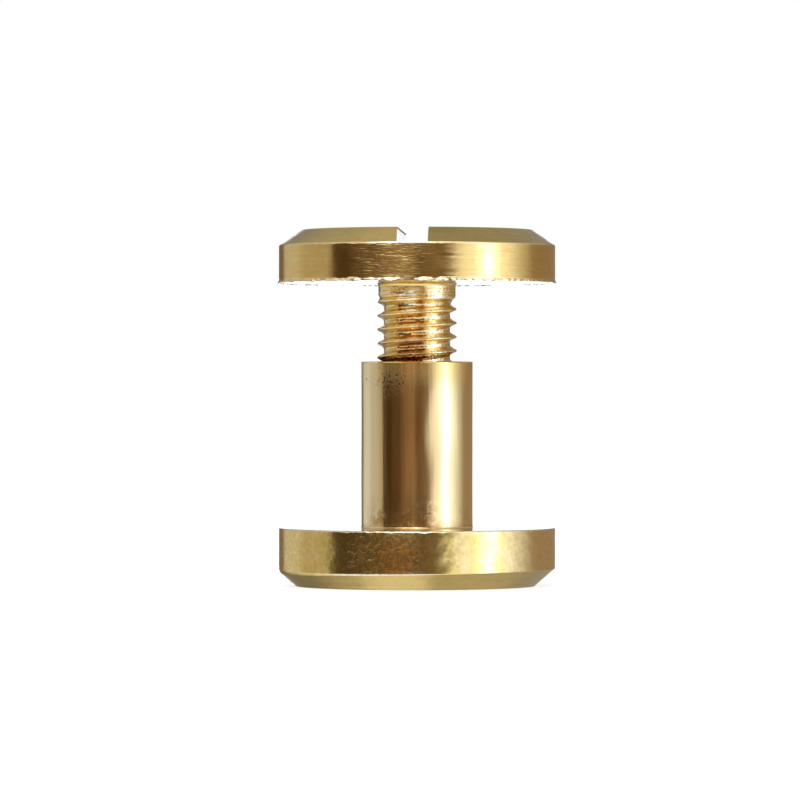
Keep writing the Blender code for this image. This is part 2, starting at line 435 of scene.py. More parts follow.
def add_bore(draft):
    """The drilled hole and the tapped thread, from the drill's point up to the mouth."""
    cone_z = BORE_END_METAL + TAPPED_CREST_RADIUS / math.tan(DRILL_POINT_ANGLE / 2)
    tip = (DRILL_TIP_RADIUS, BORE_END_METAL + DRILL_TIP_RISE)
    cone_end = (TAPPED_CREST_RADIUS, cone_z)
    hole = [(0.0, BORE_END_METAL)]
    hole += stretch(tip, cone_end, steps=6)
    hole += stretch(cone_end, (TAPPED_CREST_RADIUS, TAPPED_END_Z), steps=6)[1:]
    draft.add_band(lambda turn: hole, "bore", THREAD_COLUMNS)

    # The thread's last whole pitch ends a little under the mouth, in step with the screw's
    pitches_down = math.ceil((FIRST_CREST_Z - MOUTH_Z) / PITCH + 1)
    first_thread_z = FIRST_CREST_Z + PITCH / 2 - pitches_down * PITCH
    pitches = round((first_thread_z - TAPPED_END_Z) / PITCH)
    add_helical_rows(draft, tapped_thread_radius, first_thread_z, pitches, "bore", upwards=True)
    end = level_rows(tapped_thread_radius, first_thread_z, MOUTH_Z, steps=18)
    draft.add_band(end, "bore", THREAD_COLUMNS)


def build_post(materials):
    draft = Draft(POST_FINISHES)
    add_bore(draft)
    lip_radius = BARREL_RADIUS - BARREL_EDGE_RADIUS
    ring_radius = (COUNTERSINK_RADIUS + lip_radius) / 2
    mouth_ring = (ring_radius, COUNTERSINK_RADIUS)
    draft.add_ring(mouth_ring, MOUTH_Z, BARREL_COLUMNS, THREAD_COLUMNS, "mouth", inner_first=True)
    mouth = stretch((ring_radius, MOUTH_Z), (lip_radius, MOUTH_Z), steps=3)
    draft.add_band(lambda turn: mouth, "mouth", BARREL_COLUMNS)
    draft.add_band(barrel_outline, "barrel", BARREL_COLUMNS)

    face_z = POST_HEAD_THICKNESS
    foot_radius = BARREL_RADIUS + BARREL_ROOT_FILLET
    face = stretch((foot_radius, face_z), (POST_FACE_RING[1], face_z), steps=4)
    draft.add_band(lambda turn: face, "clamp_face", BARREL_COLUMNS)
    draft.add_ring(POST_FACE_RING, face_z, HEAD_COLUMNS, BARREL_COLUMNS, "clamp_face", inner_first=True)
    draft.add_band(post_face_outline, "clamp_face", HEAD_COLUMNS)
    draft.add_band(post_rim_outline, "rim", HEAD_COLUMNS)
    draft.add_band(post_bevel_outline, "bevel", HEAD_COLUMNS)
    draft.add_band(post_base_outline, "base", HEAD_COLUMNS)
    draft.add_ring(HEAD_RING, 0.0, HEAD_COLUMNS, THREAD_COLUMNS, "base")
    centre = stretch((HEAD_RING[1], 0.0), (0.0, 0.0), steps=4)
    draft.add_band(lambda turn: centre, "base", THREAD_COLUMNS)
    post = draft.build("barrel_post_turned", materials)
    finish_mesh(post)
    return post


# Slotted screw

SCREW_FINISHES = ["top", "bevel", "rim", "clamp_face", "thread", "slot"]


def burr(turn):
    """How far the torn burr at the head's lower edge stands out, from 0 to 1."""
    coarse = round_noise(turn, size=0.7, radius=HEAD_RADIUS, layer=21.0)
    fine = round_noise(turn, size=0.13, radius=HEAD_RADIUS, layer=23.0)
    return min(max(BURR_MEAN + 0.8 * coarse + 1.2 * fine, 0.0), 1.0)


def chipping(turn):
    """How the corner between the rim and the bevel is chipped, from about -1 to 1."""
    broad = round_noise(turn, size=0.7, radius=HEAD_RADIUS, layer=41.0)
    small = round_noise(turn, size=0.2, radius=HEAD_RADIUS, layer=43.0)
    return 0.3 * broad + 0.7 * small


def screw_rim_outline(turn):
    """From the bevel down the rim, with its fine lines, to the burr's end."""
    bevel_angle = math.atan2(SCREW_BEVEL_WIDTH, SCREW_BEVEL_HEIGHT)
    radius = SCREW_CORNER_RADIUS * (1 + CORNER_CHIPS * chipping(turn))
    bevel_end_z = TOP_Z - SCREW_BEVEL_HEIGHT
    centre_z = bevel_end_z - radius * math.tan(bevel_angle / 2)
    top = corner((HEAD_RADIUS - radius, centre_z), radius, bevel_angle, 0.0, steps=5)
    side = [
        (r + RIM_LINES * surface_noise(turn, r, z, sizes=(3.0, 0.09), layer=31.0) - RIM_LINES, z)
        for r, z in stretch(top[-1], (HEAD_RADIUS, CLAMP_Z + BURR_HEIGHT), steps=30)
    ]
    torn = burr(turn)
    hang = round_noise(turn, size=0.19, radius=HEAD_RADIUS, layer=27.0)
    burr_out = (BURR_RADIUS - HEAD_RADIUS) * torn
    lip = [(HEAD_RADIUS - BURR_FOOT_RECESS, CLAMP_Z + BURR_HEIGHT * (0.75 + 0.3 * hang))]
    lip += [
        (HEAD_RADIUS + burr_out * out, CLAMP_Z + BURR_HEIGHT * (up + sway * hang))
        for out, up, sway in BURR_OUTLINE
    ]
    lip += [(HEAD_RADIUS + burr_out, CLAMP_Z - BURR_DROP * torn)]
    return top[:-1] + side + lip


def screw_lip_outline(turn):
    """Under the burr, back to the flat of the clamp face."""
    drop = BURR_DROP * burr(turn)
    under = [(HEAD_RADIUS - inset, CLAMP_Z - drop * share) for inset, share in BURR_UNDERSIDE]
    return [screw_rim_outline(turn)[-1], *under]


def screw_bevel_outline(turn):
    return stretch((HEAD_RADIUS - SCREW_BEVEL_WIDTH, TOP_Z), screw_rim_outline(turn)[0], steps=10)


def build_slot_cutter(materials):
    """A bar across the head's top, at the slot's width and turn."""
    mesh_edit = bmesh.new()
    bmesh.ops.create_cube(mesh_edit, size=1.0)
    length = HEAD_RADIUS * 3
    bmesh.ops.scale(mesh_edit, vec=(SLOT_WIDTH, length, SLOT_DEPTH * 2), verts=mesh_edit.verts)
    turn = Matrix.Rotation(SLOT_TURN, 3, "Z")
    bmesh.ops.rotate(mesh_edit, matrix=turn, verts=mesh_edit.verts)
    bmesh.ops.translate(mesh_edit, vec=(0, 0, TOP_Z), verts=mesh_edit.verts)
    mesh = bpy.data.meshes.new("slot_cutter")
    mesh_edit.to_mesh(mesh)
    mesh_edit.free()
    for material in materials:
        mesh.materials.append(material)
    mesh.polygons.foreach_set("material_index", [SCREW_FINISHES.index("slot")] * len(mesh.polygons))
    cutter = bpy.data.objects.new("slot_cutter", mesh)
    bpy.context.scene.collection.objects.link(cutter)
    return cutter


def cut_slot(screw, materials):
    cutter = build_slot_cutter(materials)
    cut = screw.modifiers.new("slot", "BOOLEAN")
    cut.operation = "DIFFERENCE"
    cut.solver = "EXACT"
    cut.object = cutter
    depsgraph = bpy.context.evaluated_depsgraph_get()
    mesh = bpy.data.meshes.new_from_object(screw.evaluated_get(depsgraph))
    screw.modifiers.clear()
    screw.data = mesh
    bpy.data.objects.remove(cutter)


def add_shank(draft, neck_z):
    """The neck, the thread and the chamfered tip."""
    top_root_z = FIRST_CREST_Z + PITCH / 2
    pitches = math.floor((top_root_z - TIP_Z) / PITCH)
    last_root_z = top_root_z - pitches * PITCH
    neck = level_rows(screw_thread_radius, neck_z, top_root_z, steps=1)
    draft.add_band(neck, "thread", THREAD_COLUMNS)
    add_helical_rows(draft, screw_thread_radius, top_root_z, pitches, "thread")
    end = level_rows(screw_thread_radius, last_root_z, TIP_Z, steps=16)
    draft.add_band(end, "thread", THREAD_COLUMNS)
    tip = stretch((CREST_RADIUS - TIP_CHAMFER, TIP_Z), (0.0, TIP_Z), steps=4)
    draft.add_band(lambda turn: tip, "thread", THREAD_COLUMNS)


def build_screw(materials):
    draft = Draft(SCREW_FINISHES)
    ring_out, ring_in = HEAD_RING
    centre = stretch((0.0, TOP_Z), (ring_in, TOP_Z), steps=4)
    draft.add_band(lambda turn: centre, "top", THREAD_COLUMNS)
    draft.add_ring(HEAD_RING, TOP_Z, HEAD_COLUMNS, THREAD_COLUMNS, "top", inner_first=True)
    outer = stretch((ring_out, TOP_Z), (HEAD_RADIUS - SCREW_BEVEL_WIDTH, TOP_Z), steps=4)
    draft.add_band(lambda turn: outer, "top", HEAD_COLUMNS)
    draft.add_band(screw_bevel_outline, "bevel", HEAD_COLUMNS)
    draft.add_band(screw_rim_outline, "rim", HEAD_COLUMNS)
    draft.add_band(screw_lip_outline, "rim", HEAD_COLUMNS)

    face = stretch((HEAD_RADIUS - LIP_WIDTH, CLAMP_Z), (ring_out, CLAMP_Z), steps=6)
    draft.add_band(lambda turn: face, "clamp_face", HEAD_COLUMNS)
    draft.add_ring(HEAD_RING, CLAMP_Z, HEAD_COLUMNS, THREAD_COLUMNS, "clamp_face")
    fillet_centre = (NECK_RADIUS + NECK_FILLET, CLAMP_Z - NECK_FILLET)
    root = stretch((ring_in, CLAMP_Z), (fillet_centre[0], CLAMP_Z), steps=4)
    root += corner(fillet_centre, NECK_FILLET, UP, LEFT, steps=8)[1:]
    draft.add_band(lambda turn: root, "clamp_face", THREAD_COLUMNS)
    add_shank(draft, fillet_centre[1])
    screw = draft.build("slotted_screw_turned", materials)
    cut_slot(screw, materials)
    finish_mesh(screw)
    return screw


# Brass finishes. Colours are linear red, green and blue. Places and pattern sizes are in millimetres, and
# the photo's front is at -Y. A mark has a place and two radii, where it starts and where it is full.

BRASS = (0.80, 0.58, 0.20)
PALE_BRASS = (0.82, 0.64, 0.32)
OLIVE_BRASS = (0.70, 0.55, 0.17)
AMBER = (0.76, 0.43, 0.13)
RED_BRASS = (0.70, 0.35, 0.10)
# Real stains, and also painted shade
STAIN_AND_SHADE = (0.46, 0.28, 0.10)
# Grime, and also painted shade
GRIME_AND_SHADE = (0.26, 0.18, 0.06)
# Tarnish, and also painted shade
TARNISH_AND_SHADE = (0.20, 0.05, 0.015)
PIT = (0.12, 0.06, 0.02)
# A pale colour used only for painted highlights and painted reflections
PAINTED_HIGHLIGHT = (0.92, 0.80, 0.52)


def add_node(tree, kind, inputs=(), **settings):
    """A node with its settings and inputs, each input a socket to link or a plain value."""
    node = tree.nodes.new(kind)
    for name, value in settings.items():
        setattr(node, name, value)
    for name, value in dict(inputs).items():
        if isinstance(value, bpy.types.NodeSocket):
            tree.links.new(value, node.inputs[name])
        else:
            node.inputs[name].default_value = value
    return node


def calculate(tree, operation, first, second=0.0, third=0.0):
    values = {0: first, 1: second, 2: third}
    return add_node(tree, "ShaderNodeMath", values, operation=operation).outputs[0]


def multiply(tree, first, second):
    return calculate(tree, "MULTIPLY", first, second)


def multiply_add(tree, value, factor, addend):
    return calculate(tree, "MULTIPLY_ADD", value, factor, addend)


def ease(tree, value, low, high, from_value=0.0, to_value=1.0):
    """Maps a value smoothly from the range low to high on to another range."""
    return add_node(
        tree,
        "ShaderNodeMapRange",
        {"Value": value, "From Min": low, "From Max": high, "To Min": from_value, "To Max": to_value},
        interpolation_type="SMOOTHSTEP",
    ).outputs[0]


def blend_colours(tree, share, first, second):
    """The first colour at a share of 0 and the second at 1."""
    mix = add_node(tree, "ShaderNodeMix", {"Factor": share}, data_type="RGBA")
    for name, colour in (("A", first), ("B", second)):
        socket = [s for s in mix.inputs if s.name == name and s.type == "RGBA"][0]
        if isinstance(colour, bpy.types.NodeSocket):
            tree.links.new(colour, socket)
        else:
            socket.default_value = (*colour, 1.0)
    return [s for s in mix.outputs if s.type == "RGBA"][0]


class Pattern:
    """Places on a piece in millimetres, and the patterns that its finishes are made of."""

    def __init__(self, tree):
        self.tree = tree
        coordinates = add_node(tree, "ShaderNodeTexCoord").outputs["Object"]
        self.place = add_node(
            tree, "ShaderNodeVectorMath", {0: coordinates, "Scale": 1 / MM}, operation="SCALE"
        ).outputs[0]
        parts = add_node(tree, "ShaderNodeSeparateXYZ", {0: self.place}).outputs
        self.x, self.y, self.z = parts[0], parts[1], parts[2]
        squares = calculate(tree, "ADD", multiply(tree, self.x, self.x), multiply(tree, self.y, self.y))
        self.radius = calculate(tree, "SQRT", squares)
        # Changes steadily across rims, bevels and faces alike
        self.across = multiply_add(tree, self.radius, 0.7, multiply(tree, self.z, 1.6))

    def noise(self, vector, detail=2.0, roughness=0.5):
        return add_node(
            self.tree,
            "ShaderNodeTexNoise",
            {"Vector": vector, "Scale": 1.0, "Detail": detail, "Roughness": roughness},
        ).outputs["Fac"]

    def vector(self, x, y, z, factors, shift=0.0):
        parts = [multiply_add(self.tree, part, factor, shift) for part, factor in zip((x, y, z), factors)]
        return add_node(self.tree, "ShaderNodeCombineXYZ", dict(enumerate(parts))).outputs[0]

    def turned_lines(self, width, length=3.0, shift=0.0):
        """Fine lines round the axis, as a lathe tool leaves."""
        factors = (1 / length, 1 / length, 1 / width)
        return self.noise(self.vector(self.x, self.y, self.across, factors, shift), detail=3.0)

    def drawn_lines(self, width, length, shift=0.0):
        """Streaks along the axis."""
        factors = (1 / width, 1 / width, 1 / length)
        return self.noise(self.vector(self.x, self.y, self.z, factors, shift))

    def mottle(self, size, shift=0.0, detail=2.0):
        """Blotches of one size in all directions."""
        factors = (1 / size, 1 / size, 1 / size)
        return self.noise(self.vector(self.x, self.y, self.z, factors, shift), detail=detail)

    def near(self, place, outer, inner):
        """1 close to a place, and 0 farther off. With only two numbers, at every height."""
        start, end = self.place, place
        if len(place) == 2:
            start, end = self.vector(self.x, self.y, self.z, (1.0, 1.0, 0.0)), (*place, 0.0)
        distance = add_node(
            self.tree, "ShaderNodeVectorMath", {0: start, 1: end}, operation="DISTANCE"
        ).outputs["Value"]
        return ease(self.tree, distance, outer, inner)


def new_finish(name, shade):
    """A brass material. Shade fills in its tree and returns its colour, roughness and height in mm."""
    material = bpy.data.materials.new(name)
    material.use_nodes = True
    tree = material.node_tree
    shader = tree.nodes["Principled BSDF"]
    shader.inputs["Metallic"].default_value = 1.0
    colour, roughness, height = shade(tree, Pattern(tree))
    tree.links.new(colour, shader.inputs["Base Color"])
    tree.links.new(roughness, shader.inputs["Roughness"])
    bump = add_node(tree, "ShaderNodeBump", {"Height": height, "Strength": 1.0, "Distance": MM})
    tree.links.new(bump.outputs[0], shader.inputs["Normal"])
    return material


def turned_face(tree, pattern):
    """Faces and bevels: satin brass with turned rings and faint clouds."""
    fine = pattern.turned_lines(0.05)
    rings = pattern.turned_lines(0.16, 6.0, 2.0)
    cloud = pattern.mottle(0.8, 4.0)
    spots = pattern.mottle(0.25, 6.0)
    colour = blend_colours(tree, ease(tree, cloud, 0.4, 0.7, 0.0, 0.5), BRASS, OLIVE_BRASS)
    colour = blend_colours(tree, ease(tree, spots, 0.45, 0.7, 0.0, 0.35), colour, AMBER)
    colour = blend_colours(tree, ease(tree, rings, 0.42, 0.62, 0.0, 0.12), colour, STAIN_AND_SHADE)
    roughness = ease(tree, fine, 0.3, 0.7, 0.12, 0.22)
    height = multiply_add(tree, spots, 0.003, multiply(tree, fine, 0.0015))
    height = multiply_add(tree, rings, 0.003, height)
    return colour, roughness, height


def turned_rim(tree, pattern):
    """The screw's rim: level tool marks, deeper in one place, brighter and darker by patches."""
    coarse = pattern.turned_lines(0.25, 1.1)
    fine = pattern.turned_lines(0.07, 0.6, 7.0)
    cloud = pattern.mottle(0.7, 9.0)
    deeper = pattern.near((-0.95, -4.93, 11.75), 1.85, 0.85)
    colour = blend_colours(tree, ease(tree, cloud, 0.3, 0.5, 0.5, 0.0), BRASS, PALE_BRASS)
    colour = blend_colours(tree, ease(tree, fine, 0.4, 0.7, 0.0, 0.45), colour, AMBER)
    colour = blend_colours(tree, ease(tree, cloud, 0.5, 0.7, 0.0, 0.4), colour, AMBER)
    # Painted highlights: pale lines along the torn lower edge and along the corner under the bevel
    torn_edge = ease(tree, pattern.z, CLAMP_Z + 0.14, CLAMP_Z + 0.06, 0.0, 0.5)
    top_edge = ease(tree, pattern.z, TOP_Z - 0.66, TOP_Z - 0.61, 0.0, 0.25)
    colour = blend_colours(tree, calculate(tree, "MAXIMUM", torn_edge, top_edge), colour, PAINTED_HIGHLIGHT)
    roughness = ease(tree, cloud, 0.3, 0.7, 0.11, 0.18)
    coarse_depth = multiply_add(tree, deeper, 0.024, 0.0005)
    fine_depth = multiply_add(tree, deeper, 0.003, 0.0001)
    height = multiply_add(tree, coarse, coarse_depth, multiply(tree, fine, fine_depth))
    height = multiply_add(tree, pattern.mottle(0.3, 33.0), 0.002, height)
    return colour, roughness, height


def mottled_rim(tree, pattern):
    """The post's rim: dimpled like orange peel, softly speckled, and patchy in colour."""
    peel = pattern.mottle(0.32, 2.0)
    speckle = pattern.mottle(0.145, 5.0)
    patch = pattern.mottle(0.6, 12.0)
    reddened = pattern.near((-0.75, -4.94, 1.15), 0.9, 0.4)
    paler = pattern.near((4.2, -2.7, 1.3), 2.2, 0.8)
    colour = blend_colours(tree, ease(tree, patch, 0.40, 0.6, 0.0, 0.6), BRASS, OLIVE_BRASS)
    colour = blend_colours(tree, ease(tree, patch, 0.48, 0.36, 0.0, 0.5), colour, PALE_BRASS)
    colour = blend_colours(tree, multiply(tree, paler, 0.8), colour, PALE_BRASS)
    colour = blend_colours(tree, multiply(tree, reddened, 0.75), colour, RED_BRASS)
    # Grime in the speckles all round, and much more of it in front, where it is painted shade
    in_front = pattern.near((-1.3, -4.83), 2.4, 1.3)
    grime_and_shade = multiply_add(tree, in_front, 0.48, 0.12)
    darkened_speckles = multiply(tree, ease(tree, speckle, 0.44, 0.56), grime_and_shade)
    colour = blend_colours(tree, darkened_speckles, colour, GRIME_AND_SHADE)
    # The bevel starts lower on the left, so the painted highlight along the corner does too
    corner_z = multiply_add(tree, pattern.x, -POST_BEVEL_RUN_OUT / 2 / HEAD_RADIUS, pattern.z)
    corner_start = POST_BEVEL_HEIGHT - POST_BEVEL_RUN_OUT / 2 + 0.03
    low_edge = ease(tree, corner_z, corner_start + 0.05, corner_start + 0.02, 0.0, 0.8)
    low_edge = multiply(tree, low_edge, in_front)
    top_edge = ease(tree, pattern.z, POST_HEAD_THICKNESS - 0.08, POST_HEAD_THICKNESS - 0.04, 0.0, 0.5)
    # Painted highlights: a pale line along the lower corner, in front only, and one along the top edge
    colour = blend_colours(tree, calculate(tree, "MAXIMUM", low_edge, top_edge), colour, PAINTED_HIGHLIGHT)
    roughness = ease(tree, speckle, 0.35, 0.65, 0.13, 0.20)
    pitted = pattern.near((-1.3, -4.83, 1.3), 2.0, 1.0)
    speckle_depth = multiply_add(tree, pitted, 0.012, 0.0015)
    height = multiply_add(tree, peel, 0.004, multiply(tree, speckle, speckle_depth))
    return colour, roughness, height


def polished_barrel(tree, pattern):
    """The barrel: bright, with faint streaks along it, pits near its mouth and a mottled foot, with a
    painted pale reflection on its left and a painted dark strip down its front.
    """
    streaks = pattern.drawn_lines(0.10, 3.0)
    broad = pattern.drawn_lines(0.35, 4.0, 3.0)
    blotches = pattern.mottle(0.32, 18.0, detail=3.0)
    mouth = ease(tree, pattern.z, MOUTH_Z - 1.2, MOUTH_Z - 0.3)
    below_mouth = ease(tree, pattern.z, MOUTH_Z - 0.6, MOUTH_Z - 1.6, 0.0, 0.6)
    foot = ease(tree, pattern.z, POST_HEAD_THICKNESS + 1.4, POST_HEAD_THICKNESS + 0.2)
    foot_front = multiply_add(tree, pattern.near((-0.55, -1.95), 1.7, 0.7), 0.8, 0.2)
    foot = multiply(tree, foot, foot_front)

    patch = pattern.near((-0.88, -1.82, 7.35), 0.8, 0.3)
    scattered = multiply(tree, mouth, ease(tree, pattern.mottle(0.7, 15.0), 0.52, 0.66, 0.0, 0.9))
    dots = ease(tree, pattern.mottle(0.10, 21.0, detail=1.0), 0.54, 0.59)
    pits = multiply(tree, dots, calculate(tree, "MAXIMUM", patch, scattered))

    warm = multiply(tree, pattern.near((-0.25, -2.0), 1.25, 0.3), ease(tree, broad, 0.3, 0.6, 0.45, 1.0))
    # Painted reflection: a pale band down the barrel's left side
    left_highlight = multiply(tree, pattern.near((-1.9, -0.7), 1.1, 0.7), 0.7)
    # Painted shade: a dark brown strip down the barrel's front, below the mouth
    front_shade = multiply(tree, pattern.near((-0.85, -1.84), 0.55, 0.2), below_mouth)
    foot_stain = multiply(tree, foot, ease(tree, blotches, 0.42, 0.58, 0.0, 0.8))
    colour = blend_colours(tree, ease(tree, broad, 0.42, 0.75, 0.0, 0.2), PALE_BRASS, AMBER)
    colour = blend_colours(tree, multiply(tree, mouth, 0.9), colour, BRASS)
    colour = blend_colours(tree, multiply(tree, warm, 0.6), colour, RED_BRASS)
    colour = blend_colours(tree, left_highlight, colour, PAINTED_HIGHLIGHT)
    colour = blend_colours(tree, front_shade, colour, STAIN_AND_SHADE)
    colour = blend_colours(tree, foot_stain, colour, STAIN_AND_SHADE)
    colour = blend_colours(tree, pits, colour, PIT)

    dull = multiply_add(tree, pits, 0.2, multiply(tree, mouth, 0.11))
    dull = multiply_add(tree, foot, 0.05, dull)
    roughness = calculate(tree, "ADD", ease(tree, streaks, 0.3, 0.7, 0.12, 0.18), dull)
    height = multiply_add(tree, streaks, 0.0028, multiply(tree, pits, -0.001))
    dimples = multiply(tree, multiply(tree, foot, blotches), 0.018)
    return colour, roughness, calculate(tree, "ADD", height, dimples)


# Painted light and shade on the shank: a place, the radii where each starts and is full, its share and its
# colour
PAINTED_SHANK_LIGHT = (
    # Painted shade: a darker strip down the front
    ((0.14, -1.43), 0.32, 0.15, 0.50, STAIN_AND_SHADE),
    # Painted highlight: a pale strip down the front
    ((-0.11, -1.43), 0.25, 0.10, 0.50, PAINTED_HIGHLIGHT),
    # Painted highlight: a pale band on the right
    ((0.68, -1.25), 0.50, 0.20, 0.70, PAINTED_HIGHLIGHT),
    # Painted highlight: a glint on the first crest under the neck
    ((-0.35, -1.39, CLAMP_Z - 0.68), 0.50, 0.30, 1.00, PAINTED_HIGHLIGHT),
    # Painted shade: a dark red-brown band on the thread just above the barrel's mouth, in front
    ((-0.25, -1.41, MOUTH_Z + 0.25), 0.75, 0.35, 0.55, TARNISH_AND_SHADE),
)


def cut_thread(tree, pattern):
    """The screw's shank: a chattered thread with amber grooves, lathe rings on the neck, and painted
    reflections, highlights and shade.
    """
    depth = ease(tree, pattern.radius, ROOT_RADIUS, CREST_RADIUS)
    chatter = pattern.mottle(0.20, 8.0)
    on_neck = ease(tree, pattern.z, CLAMP_Z - 0.75, CLAMP_Z - 0.55)
    rings = multiply(tree, pattern.turned_lines(0.15, 1.2, 3.0), on_neck)
    # Painted reflections: amber on the thread's and neck's front, and olive on the left side
    front_amber = multiply(tree, pattern.near((-0.3, -1.4), 0.95, 0.4), 0.8)
    amber = calculate(tree, "MAXIMUM", ease(tree, chatter, 0.38, 0.6, 0.0, 0.25), front_amber)
    olive = multiply(tree, pattern.near((-1.15, -0.9), 0.6, 0.3), 0.6)
    neck_amber = multiply(tree, multiply(tree, on_neck, pattern.near((-0.33, -1.36), 0.85, 0.6)), 0.7)
    grooves = blend_colours(tree, olive, PALE_BRASS, OLIVE_BRASS)
    grooves = blend_colours(tree, amber, grooves, AMBER)
    colour = blend_colours(tree, depth, grooves, PALE_BRASS)
    colour = blend_colours(tree, neck_amber, colour, AMBER)
    for place, outer, inner, most, tint in PAINTED_SHANK_LIGHT:
        share = multiply(tree, pattern.near(place, outer, inner), most)
        colour = blend_colours(tree, share, colour, tint)
    roughness = ease(tree, chatter, 0.3, 0.7, 0.07, 0.16)
    height = multiply_add(tree, rings, 0.045, multiply(tree, chatter, 0.035))
    return colour, roughness, height


def tapped_bore(tree, pattern):
    """The tapped bore and its mouth: brown with oil and tarnish."""
    chatter = pattern.mottle(0.20, 8.0)
    colour = blend_colours(tree, ease(tree, chatter, 0.38, 0.6, 0.5, 1.0), RED_BRASS, TARNISH_AND_SHADE)
    roughness = ease(tree, chatter, 0.3, 0.7, 0.15, 0.30)
    return colour, roughness, multiply(tree, chatter, 0.020)


def milled_slot(tree, pattern):
    """The slot: bright fresh metal with saw marks along it, and a rougher edge with a painted dark line
    along it.
    """
    along = pattern.vector(pattern.x, pattern.y, pattern.z, (9.0, 0.4, 14.0))
    marks = pattern.noise(along, detail=3.0)
    edge = ease(tree, pattern.z, TOP_Z - 0.09, TOP_Z - 0.05)
    colour = blend_colours(tree, ease(tree, marks, 0.4, 0.7, 0.0, 0.4), PALE_BRASS, BRASS)
    # Painted shade: a dark line along the top of the slot's walls
    colour = blend_colours(tree, multiply(tree, edge, 0.5), colour, STAIN_AND_SHADE)
    roughness = multiply_add(tree, edge, 0.35, ease(tree, marks, 0.3, 0.7, 0.08, 0.14))
    return colour, roughness, multiply(tree, marks, 0.001)


# The studio round the object. Each light, card or reflector spans some directions and has a level at
# each end of them. Direction 0 is towards the camera and those to its right are positive, in degrees.
# At eye level the dim parts of the room are warm. The lamps are cool.

WARM = (1.0, 0.58, 0.22)
NEUTRAL = (1.0, 1.0, 1.0)
COOL = (1.0, 1.08, 1.35)
NEUTRAL_LEVEL = 0.56
COOL_LEVEL = 1.3
STUDIO_PEAK = 4.0

AT_EYE_LEVEL = (
    (-180, -174, 1.50, 1.50),  # white backdrop, left half
    (-170, -150, 0.25, 0.20),  # gap beside the backdrop
    (-143, -120, 0.62, 0.66),  # left reflector
    (-108, -77.5, 0.54, 0.52),
    (-73.5, -60, 0.08, 0.08),  # black card left of the camera
    (-49, -36, 0.13, 0.15),
    (-24, -7, 0.25, 0.33),  # the photographer
    (0, 10, 0.16, 0.17),  # the lens
    (15, 34, 0.72, 1.15),  # right diffuser
    (50, 58, 1.45, 2.70),
    (61, 64, 3.70, 3.70),  # strip light behind it
    (67, 73, 2.70, 1.42),
    (82, 92, 1.27, 0.86),
    (101, 112, 0.62, 0.37),
    (126, 172, 0.34, 0.32),  # the room on the right
    (176.5, 180, 1.50, 1.50),  # white backdrop, right half
)

# A leaning card between the lens and the right diffuser: where its sides start and are full, in radians
CARD_LEFT = (0.17, 0.21)
CARD_RIGHT = (0.57, 0.37)
CARD_LEAN = 3.0
CARD_LEVEL = 0.18

# Eye level gets lighter towards the table, by this much for each unit of a direction's height
TABLE_GLOW = 3.0
GLOW_REACH = 0.04

# Sines of the elevations where eye level ends, and where the overhead or the table is full
EYE_LEVEL_END, OVERHEAD_START = (math.sin(math.radians(angle)) for angle in (5, 24))

OVERHEAD = (
    (-180, -164, 0.36, 0.28),  # ceiling behind
    (-156, -149, 0.40, 0.52),
    (-110, -80, 0.60, 0.80),
    (-60, -34, 1.00, 1.15),
    (-22, -9, 1.15, 1.10),
    (3, 70, 1.10, 1.40),  # soft box on the right
    (90, 120, 0.90, 0.50),
    (148, 156, 0.38, 0.34),
    (164, 180, 0.32, 0.35),
)

ON_THE_TABLE = (
    (-180, -160, 0.38, 0.20),  # table behind
    (-146, -131, 0.26, 0.62),
    (-80, 60, 1.10, 1.20),  # table in front
    (100, 131, 0.60, 0.54),
    (142, 150, 0.50, 0.38),
    (158, 180, 0.34, 0.40),
)

# Round spots: the direction of the middle, the cosines from it where they start and are full, and a level
SPOTS = (
    ((-0.135, 0.15, -0.9795), 0.955, 0.99, 0.88),  # table straight below
    ((-0.15, 0.39, 0.9085), 0.975, 0.995, 0.56),  # dim part of the ceiling
    ((-0.184, -0.686, 0.704), 0.90, 0.93, 3.4),  # lamp above the camera
)


def studio_colour(level, dim_tint=NEUTRAL):
    """A level as a colour for a ramp, which is then multiplied by the peak."""
    cool_share = min(max((level - NEUTRAL_LEVEL) / (COOL_LEVEL - NEUTRAL_LEVEL), 0.0), 1.0)
    dim_share = max(1.0 - level / NEUTRAL_LEVEL, 0.0) ** 0.6
    tints = [
        1.0 + (cool - 1.0) * cool_share + (dim - 1.0) * dim_share for cool, dim in zip(COOL, dim_tint)
    ]
    return [level / STUDIO_PEAK * tint for tint in tints] + [1.0]


def add_ramp(tree, share, spans, dim_tint=NEUTRAL):
    """Levels by direction, with even changes between the spans."""
    stops = [stop for start, end, first, last in spans for stop in ((start, first), (end, last))]
    ramp = add_node(tree, "ShaderNodeValToRGB", {"Fac": share})
    elements = ramp.color_ramp.elements
    elements[0].color = studio_colour(stops[0][1], dim_tint)
    elements[-1].color = studio_colour(stops[-1][1], dim_tint)
    for direction, level in stops[1:-1]:
        elements.new((direction + 180) / 360).color = studio_colour(level, dim_tint)
    return ramp.outputs["Color"]


